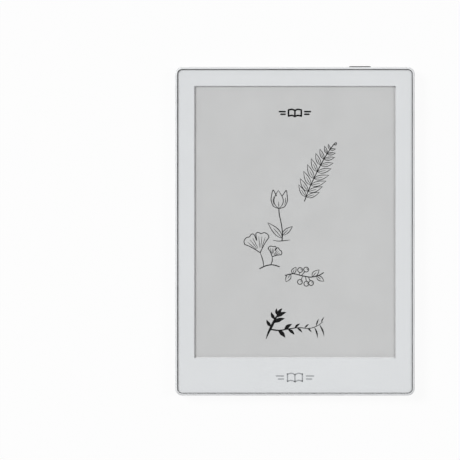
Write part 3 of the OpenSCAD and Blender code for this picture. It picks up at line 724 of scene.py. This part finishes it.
def flower():
    """A tulip: three petals on a bending stem with two unequal leaves at its foot."""
    cup = (-0.6, 2.9)
    left_petal = [cup, (-3.0, 3.9), (-4.1, 6.6), (-3.8, 9.3), (-3.2, 11.2), (-2.3, 9.8), (-1.7, 8.6)]
    right_petal = [cup, (1.9, 3.7), (3.2, 6.2), (3.1, 9.0), (2.7, 11.0), (1.7, 9.7), (1.0, 8.7)]
    strokes = [drawn([(0.8, -11.6), (1.0, -8.0), (0.4, -3.5), (-0.4, 0.0), cup], PEN * BOLD)]
    strokes += leaf(cup, 92, 8.2, 4.2, PEN, 0.45)
    strokes += [drawn(left_petal, PEN), drawn(right_petal, PEN)]
    strokes.append(tapered([(-2.9, 4.6), (-3.2, 6.4), (-3.0, 8.2)], PEN * FINE))
    strokes.append(tapered([(2.0, 4.5), (2.4, 6.2), (2.3, 7.8)], PEN * FINE))
    strokes += leaf((0.9, -10.6), 128, 9.6, 2.6, PEN, 0.75, 0.08)
    strokes += leaf((1.0, -9.2), 48, 6.0, 2.0, PEN, 0.7, -0.12)
    strokes.append(tapered([(-3.2, -11.5), (-0.8, -11.8), (1.8, -11.6), (4.4, -11.3)], PEN))
    return strokes


def fan_leaf(foot, base, turn, radius, spread, pen):
    """A ginkgo leaf: a fan with a notched, wavy edge and ribs that part from its base."""
    strokes = [tapered([foot, between_ends(foot, base, (0.4, -0.2)), base], pen * BOLD)]

    def at(part, reach):
        angle = math.radians(turn + spread * (part - 0.5))
        return base[0] + reach * math.cos(angle), base[1] + reach * math.sin(angle)

    edge = [(0, 0.86), (0.08, 0.97), (0.2, 1.0), (0.3, 0.94), (0.4, 1.0), (0.47, 0.93), (0.5, 0.62)]
    edge += [(1 - part, reach) for part, reach in edge[-2::-1]]
    strokes.append(drawn([at(part, reach * radius) for part, reach in edge], pen))
    for part, mid in ((0, 0.04), (1, 0.96)):
        strokes.append(drawn([base, at(mid, radius * 0.5), at(part, radius * 0.86)], pen))
    for part in (0.13, 0.26, 0.38, 0.62, 0.74, 0.87):
        strokes.append(tapered([at(part, radius * reach) for reach in (0.25, 0.5, 0.8)], pen * 0.7))
    return strokes


def ginkgo():
    """Two ginkgo leaves on one twig."""
    strokes = [drawn([(-1.6, -8.4), (1.2, -7.1), (4.2, -6.7), (7.2, -7.5)], PEN * 1.3)]
    strokes += fan_leaf((0.2, -7.6), (-1.4, -1.2), 106, 9.2, 92, PEN)
    strokes += fan_leaf((3.2, -6.8), (4.0, -3.0), 64, 4.8, 104, PEN)
    return strokes


def berry(stalk, centre):
    """A berry with a gleam on it, and the stalk that it hangs from."""
    towards = (Vector(centre) - Vector(stalk)).normalized()
    rim = tuple(Vector(centre) - towards * BERRY_R)
    gleam = [(0.2, 0.5), (0.55, 0.2), (0.5, -0.2)]
    return [
        tapered([stalk, between_ends(stalk, centre, (0.15, 0)), rim], PEN),
        circle(centre, BERRY_R, PEN),
        tapered([(centre[0] + x, centre[1] + y) for x, y in gleam], PEN * FINE),
    ]


def berries():
    """A lying twig with leaves and berries."""
    twig = [(-8.6, 0.6), (-5.0, 1.3), (-1.0, 0.4), (3.0, -0.2), (6.6, 0.6), (8.6, 1.8)]
    strokes = [drawn(twig, PEN * BOLD)]
    strokes += leaf((-5.4, 1.3), 68, 3.4, 1.9, PEN, 0.7, -0.1)
    strokes += leaf((-6.2, 1.1), 232, 4.0, 2.2, PEN, 0.7, 0.1)
    strokes += leaf((3.6, -0.1), 52, 4.4, 2.2, PEN, 0.7, -0.1)
    strokes += leaf((5.6, 0.3), 318, 4.0, 2.0, PEN, 0.7, 0.1)
    hung = [
        ((-2.4, 0.8), (-1.9, 3.0)), ((-1.4, 0.5), (0.8, 3.2)), ((-0.8, 0.4), (-2.0, -2.4)),
        ((0.4, 0.1), (0.9, -3.2)), ((1.6, 0.0), (3.0, -2.9)),
    ]
    for stalk, centre in hung:
        strokes += berry(stalk, centre)
    return strokes


def pressed_leaf(base, turn, length, wide):
    """A leaf laid down with one press of the brush, full in the middle and pointed at both ends."""
    ahead = Vector((math.cos(math.radians(turn)), math.sin(math.radians(turn))))
    aside = Vector((-ahead.y, ahead.x)) * length
    shape = [(0.0, 0.0, 0.1), (0.2, 0.02, 0.6), (0.45, 0.04, 1.0), (0.72, 0.02, 0.7), (1.0, -0.05, 0.08)]
    places = [(Vector(base) + ahead * length * t + aside * bend, part) for t, bend, part in shape]
    return [(spot.x, spot.y, wide * part) for spot, part in places], False


def brush_branch():
    """A leafy branch in brush and ink: heavy and wet on the left, thin and dry on the right."""
    stem = [(-12.8, -6.6, 0.3), (-11.6, -3.6, 0.9), (-10.0, -0.4, 1.2), (-8.6, 2.4, 0.9), (-7.6, 4.2, 0.4)]
    twig = [
        (-11.0, -2.4, 0.7), (-7.0, -2.9, 0.6), (-2.6, -2.2, 0.5), (2.2, -1.7, 0.4),
        (6.6, -2.0, 0.35), (10.2, -0.9, 0.3), (12.8, 1.0, 0.2),
    ]
    strokes = [(stem, False), (twig, False)]
    leaves = [
        ((-7.8, 4.0), 98, 3.0, 1.3), ((-7.5, 4.2), 58, 3.4, 1.4), ((-8.2, 3.0), 30, 5.0, 1.7),
        ((-8.8, 2.0), 120, 3.8, 1.5), ((-9.5, 0.5), 24, 5.4, 1.9), ((-10.5, -1.3), 126, 3.8, 1.5),
        ((-7.4, -2.8), -44, 4.6, 1.9), ((-4.6, -2.5), 38, 4.2, 1.6), ((-3.0, -2.3), -38, 3.8, 1.4),
        ((0.0, -1.9), 42, 3.2, 1.0), ((1.2, -1.8), -40, 3.0, 0.9), ((4.6, -1.8), 44, 2.6, 0.7),
        ((5.8, -1.9), -42, 2.6, 0.7), ((9.0, -1.4), -72, 5.2, 0.7), ((9.8, -1.0), 72, 3.6, 0.6),
        ((11.2, -0.2), -66, 5.8, 0.7), ((12.0, 0.5), 64, 3.0, 0.5),
    ]
    return strokes + [pressed_leaf(*one) for one in leaves]


def open_book(half_wide, high, pen):
    """An open book between two pairs of short lines."""
    page_wide = high * 0.78
    page_high = high * 0.74
    # (part of a page's width, part of the mark's height)
    lower_edge = ((0.0, 0.06), (0.45, 0.2), (1.0, 0.12))
    bottom = [(page_wide * part, high * (rise - 0.5)) for part, rise in lower_edge]
    top = [(x, y + page_high) for x, y in bottom]
    start = page_wide + high * 0.42
    strokes = []
    for side in (1, -1):
        for points in (bottom, top, [bottom[-1], top[-1]]):
            strokes.append(drawn([(side * x, y) for x, y in points], pen))
        for level, reach in ((0.16, 1.0), (-0.16, 0.72)):
            end = start + (half_wide - start) * reach
            strokes.append(drawn([(side * start, level * high), (side * end, level * high)], pen))
    strokes.append(drawn([bottom[0], top[0]], pen))
    return strokes


film_low, film_high = (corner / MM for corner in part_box("epaper_film"))
window_low = film_low + Vector((FILM_MARGIN, FILM_MARGIN, 0))
window_high = film_high - Vector((FILM_MARGIN, FILM_MARGIN, 0))
window_size = window_high - window_low


def on_screen(across, down):
    """A place on the screen from its parts of the width and of the height, from the top left."""
    return window_low.x + across * window_size.x, window_high.y - down * window_size.y


SCREEN_ART = {
    "start_mark": (open_book(7.0, 3.7, 0.75), (0.5, 0.099)),
    "fern_drawing": (fern(), (0.616, 0.314)),
    "flower_drawing": (flower(), (0.427, 0.474)),
    "ginkgo_drawing": (ginkgo(), (0.343, 0.603)),
    "berry_drawing": (berries(), (0.547, 0.701)),
    "branch_drawing": (brush_branch(), (0.498, 0.875)),
}
for art_name, (strokes, parts) in SCREEN_ART.items():
    drawing(art_name, strokes, on_screen(*parts), film_high.z, SCREEN_INK)

print_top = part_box("border_print")[1].z / MM
mark_centre = (0.0, cad_box[0].y / MM + BORDER_MARK_UP)
drawing("border_mark", open_book(8.4, 4.3, 0.6), mark_centre, print_top, BORDER_INK)


def window_edge_painted_light():
    """The fine line where the e-paper ends, just inside the window of the border, painted paler than the
    paper as painted light that lifts the shadow the border casts there.
    """
    inset = EDGE_LINE_W / 2
    half = window_size.xy / 2
    middle = (window_low.xy + window_high.xy) / 2
    places = outline(half.x - inset, half.y - inset, WINDOW_R - inset)
    points = [(middle.x + x, middle.y + y, EDGE_LINE_W) for x, y in places]
    bm = bmesh.new()
    add_ribbon(bm, [Vector(point) for point in points], True, film_high.z - SUNK, film_high.z + INK_T)
    piece("window_edge_painted_light", bm, "housing", EDGE_PAINTED_LIGHT_INK)


window_edge_painted_light()


# ---------- Studio ----------


def studio_floor():
    """A pale table that glows a little, so that it stays white and shadows stay faint."""
    bm = bmesh.new()
    bmesh.ops.create_grid(bm, x_segments=1, y_segments=1, size=FLOOR_HALF)
    for vert in bm.verts:
        vert.co.z = -SUNK * MM
    paint = Paint("floor", {"Roughness": 0.9, "Specular IOR Level": 0.0, "Emission Color": (1, 1, 1, 1)})
    paint.shader.inputs["Base Color"].default_value = (FLOOR_DIFFUSE, FLOOR_DIFFUSE, FLOOR_DIFFUSE, 1)
    paint.shader.inputs["Emission Strength"].default_value = FLOOR_GLOW
    mesh = bpy.data.meshes.new("floor")
    bm.to_mesh(mesh)
    bm.free()
    mesh.materials.append(paint.material)
    floor = bpy.data.objects.new("floor", mesh)
    bpy.context.scene.collection.objects.link(floor)


def studio_light():
    """Two broad soft lights, the left one stronger, and an even room that is white to look at."""
    for light_name, (towards, strength) in LIGHTS.items():
        light = bpy.data.lights.new(light_name, "SUN")
        light.energy = strength
        light.angle = LIGHT_ANGLE
        lamp = bpy.data.objects.new(light_name, light)
        lamp.rotation_euler = towards.to_track_quat("Z", "Y").to_euler()
        bpy.context.scene.collection.objects.link(lamp)

    world = bpy.data.worlds.new("studio")
    bpy.context.scene.world = world
    world.use_nodes = True
    tree = world.node_tree
    up = tree.nodes.new("ShaderNodeSeparateXYZ")
    tree.links.new(tree.nodes.new("ShaderNodeTexCoord").outputs["Generated"], up.inputs[0])
    ramp = tree.nodes.new("ShaderNodeValToRGB")
    for element, value in zip(ramp.color_ramp.elements, (WALLS, CEILING)):
        element.color = (value, value, value, 1)
    tree.links.new(up.outputs["Z"], ramp.inputs[0])
    room = tree.nodes["Background"]
    tree.links.new(ramp.outputs[0], room.inputs["Color"])
    seen = tree.nodes.new("ShaderNodeBackground")
    seen.inputs["Color"].default_value = (BACKDROP, BACKDROP, BACKDROP, 1)
    mix = tree.nodes.new("ShaderNodeMixShader")
    tree.links.new(tree.nodes.new("ShaderNodeLightPath").outputs["Is Camera Ray"], mix.inputs[0])
    tree.links.new(room.outputs[0], mix.inputs[1])
    tree.links.new(seen.outputs[0], mix.inputs[2])
    tree.links.new(mix.outputs[0], tree.nodes["World Output"].inputs["Surface"])


def studio_camera():
    """A long lens straight above the screen, which lies to the right of the middle of the frame."""
    data = bpy.data.cameras.new("camera")
    data.lens = LENS_MM
    data.sensor_width = SENSOR_MM
    data.clip_end = CLIP_END
    camera = bpy.data.objects.new("camera", data)
    height = film_high.z + FRAME_MM * LENS_MM / SENSOR_MM
    camera.location = Vector((CAMERA_X, CAMERA_Y, height)) * MM
    bpy.context.scene.collection.objects.link(camera)
    bpy.context.scene.camera = camera


studio_floor()
studio_light()
studio_camera()
bpy.context.scene.view_settings.view_transform = "Standard"
bpy.context.scene.cycles.transparent_max_bounces = CLEAR_BOUNCES
